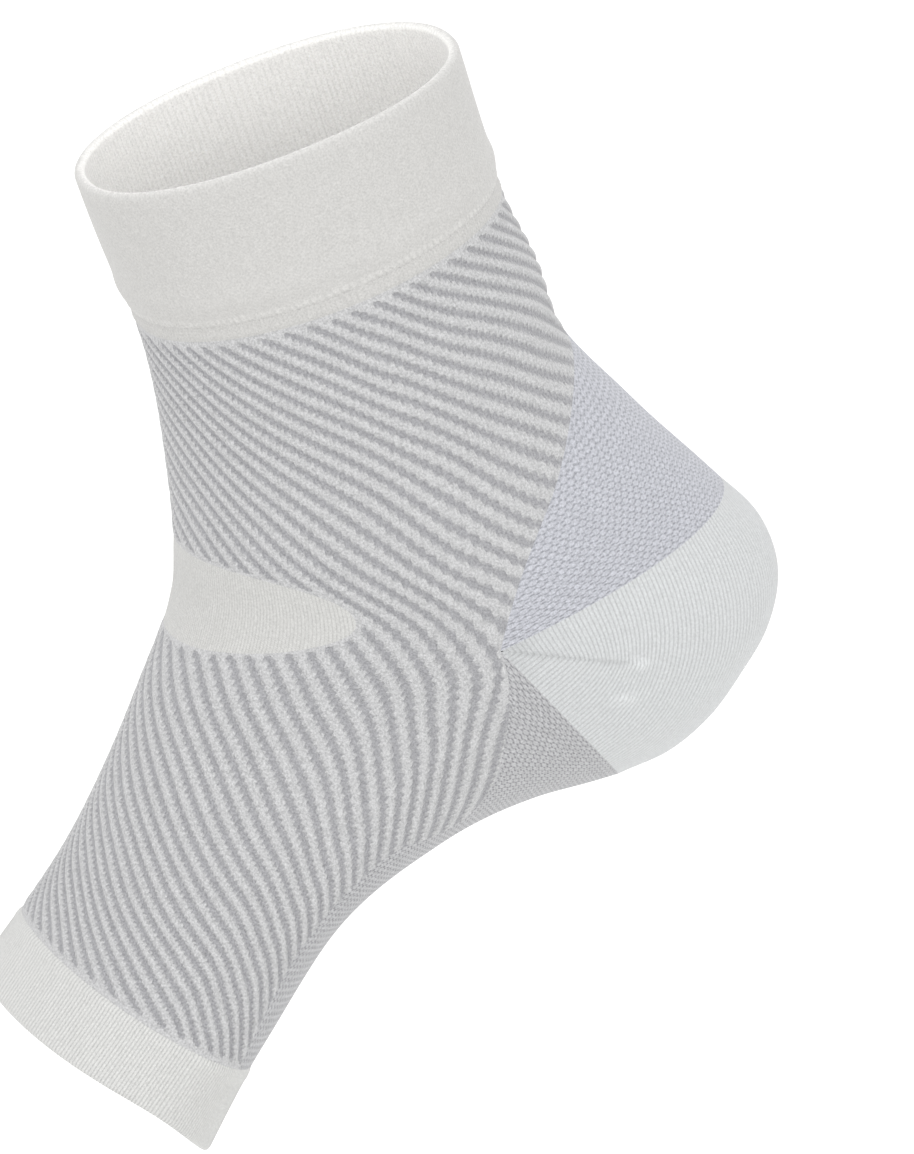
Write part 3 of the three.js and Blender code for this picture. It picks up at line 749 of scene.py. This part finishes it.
# The finished pieces, with the node that each stands for and its flat cut in metres
PIECES = [
    (make_striped_sleeve, "striped_sleeve", "striped_knit", (0.190, 0.172), 0.0245),
    (make_patch, "instep_patch", "patch_knit", (0.070, 0.031), 0.0018),
    (make_achilles_panel, "achilles_panel", "mesh_knit", (0.095, 0.042), 0.0029),
    (make_sole_panel, "sole_panel", "mesh_knit", (0.080, 0.094), 0.0060),
    (make_heel, "heel_pocket", "heel_knit", (0.125, 0.085), 0.0070),
    (make_cuff, "ankle_cuff", "plain_knit", (0.185, 0.029), None),
    (make_toe_band, "toe_band", "ribbed_knit", (0.185, 0.0138), None),
    (make_join_band, "cuff_join_band", "plain_knit", None, None),
]
FINISHES = {
    # Jacquard in white and grey nylon: soft raised ribs with toothed edges over flat grey grooves
    "striped_sleeve": striped_knit(),
    # Plain jersey in fine white nylon: an even, mottled surface with stitches just too small to count, with
    # painted light inside it and a painted highlight round its rim
    "ankle_cuff": plain_knit("cuff_jersey", 1.2, 0.7, "#b9b8b6", "#c4c3c1", 0.08, 0.8, 0.3,
                             "ribbed", "whiter"),
    # The same yarn in a single layer: a little greyer and smoother than the cuff
    "cuff_join_band": plain_knit("join_jersey", 0.9, 0.7, "#b3b2b0", "#c0bfbd", 0.08, 0.3, 0.5),
    # Single jersey with small open stitches: faint close lines round the instep
    "instep_patch": plain_knit("patch_jersey", 0.6, 0.6, "#adacaa", "#c6c6c4", 0.08, 0.5, 0.5),
    # Fine jersey knitted to and fro: thin grey wale lines that meet along the gore, with painted highlights
    # on its two puckers
    "heel_pocket": plain_knit("heel_jersey", HEEL_WALE, 0.7, "#b1b2b3", "#c4c6c7", 0.1, 0.8, 0.2,
                              None, "whiter"),
    # One-by-one rib in elastic yarn: close fine lines across the band
    "toe_band": plain_knit("toe_rib", FLAT_WIDTH / TOE_RIBS, 0.7, "#b1b1b0", "#c9c9c7", 0.1, 0.8, 0.2),
    # Tuck mesh in lilac-grey yarn: rows of small soft dark dots
    "achilles_panel": mesh_knit("achilles_mesh_knit", "#989aa0", "#b3b4bb"),
    # The same mesh in plain grey, stretched under the arch: darker, with deeper dots
    "sole_panel": mesh_knit("sole_mesh_knit", "#89898c", "#adadaf"),
}

for make, node, slot, flat, area in PIECES:
    piece = make()
    piece.data.materials.append(FINISHES[node])
    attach(piece, "root")
    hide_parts(node)


# Floor, light and camera

FLOOR_GAP = 0.06  # the sleeve is held this far over the floor, so that no shadow touches it


def studio():
    bm = bmesh.new()
    bmesh.ops.create_grid(bm, x_segments=2, y_segments=2, size=6)
    bmesh.ops.translate(bm, vec=(0, 0, cad_box[0][2] - FLOOR_GAP), verts=bm.verts)
    mesh = bpy.data.meshes.new("studio_floor")
    bm.to_mesh(mesh)
    bm.free()
    floor = bpy.data.objects.new("studio_floor", mesh)
    bpy.context.scene.collection.objects.link(floor)
    # Matte white background paper with a faint glow: one even white, as in the photograph
    paper = bpy.data.materials.new("matte_white_paper")
    paper.use_nodes = True
    paper.node_tree.nodes.clear()
    sheet = add(paper.node_tree, "ShaderNodeBsdfPrincipled", {
        "Base Color": linear("#f7f7f6"), "Roughness": 0.95,
        "Emission Color": (1, 1, 1, 1), "Emission Strength": 0.15,
    })
    add(paper.node_tree, "ShaderNodeOutputMaterial", {"Surface": sheet})
    floor.data.materials.append(paper)

    world = bpy.data.worlds.new("studio")
    bpy.context.scene.world = world
    world.use_nodes = True
    world.node_tree.nodes.clear()
    sky = add(world.node_tree, "ShaderNodeBackground", {"Color": (1, 1, 1, 1), "Strength": 1.0})
    add(world.node_tree, "ShaderNodeOutputWorld", {"Surface": sky})
    for name, place, power, size in (
        ("key", (0.9, 1.0, 1.4), 3, 1.4),
        ("fill", (1.5, -1.3, 0.7), 2.5, 1.6),
        ("top", (0.75, -0.15, 1.7), 12, 1.4),
    ):
        lamp = bpy.data.lights.new(name, "AREA")
        lamp.energy = power
        lamp.size = size
        light = bpy.data.objects.new(name, lamp)
        light.location = place
        light.rotation_euler = (Vector((0, 0, 0)) - Vector(place)).to_track_quat("-Z", "Y").to_euler()
        bpy.context.scene.collection.objects.link(light)


VIEW = (80, 21, 19)  # degrees round from the toes, up, and rolled
AIM = (0.004134, 0.004528)  # the picture's middle, across and up it from the ankle's centre
DISTANCE = 2.6
FOCAL_LENGTH = 412


def photo_camera():
    """The photograph's view: from the side, a little above, with the leg leaning left in the picture."""
    azimuth, elevation, roll = (math.radians(a) for a in VIEW)
    level = math.cos(elevation)
    back = Vector((math.sin(azimuth) * level, -math.cos(azimuth) * level, math.sin(elevation)))
    right = Vector((math.cos(azimuth), math.sin(azimuth), 0))
    up = back.cross(right)
    across = right * math.cos(roll) - up * math.sin(roll)
    upright = right * math.sin(roll) + up * math.cos(roll)
    target = across * AIM[0] + upright * AIM[1]
    lens = bpy.data.cameras.new("photo_camera")
    lens.sensor_width = 36
    lens.lens = FOCAL_LENGTH
    lens.clip_end = 50
    camera = bpy.data.objects.new("photo_camera", lens)
    pose = Matrix((across, upright, back)).transposed().to_4x4()
    pose.translation = target + back * DISTANCE
    camera.matrix_world = pose
    bpy.context.scene.collection.objects.link(camera)
    bpy.context.scene.camera = camera


studio()
photo_camera()
bpy.context.scene.view_settings.view_transform = "Standard"
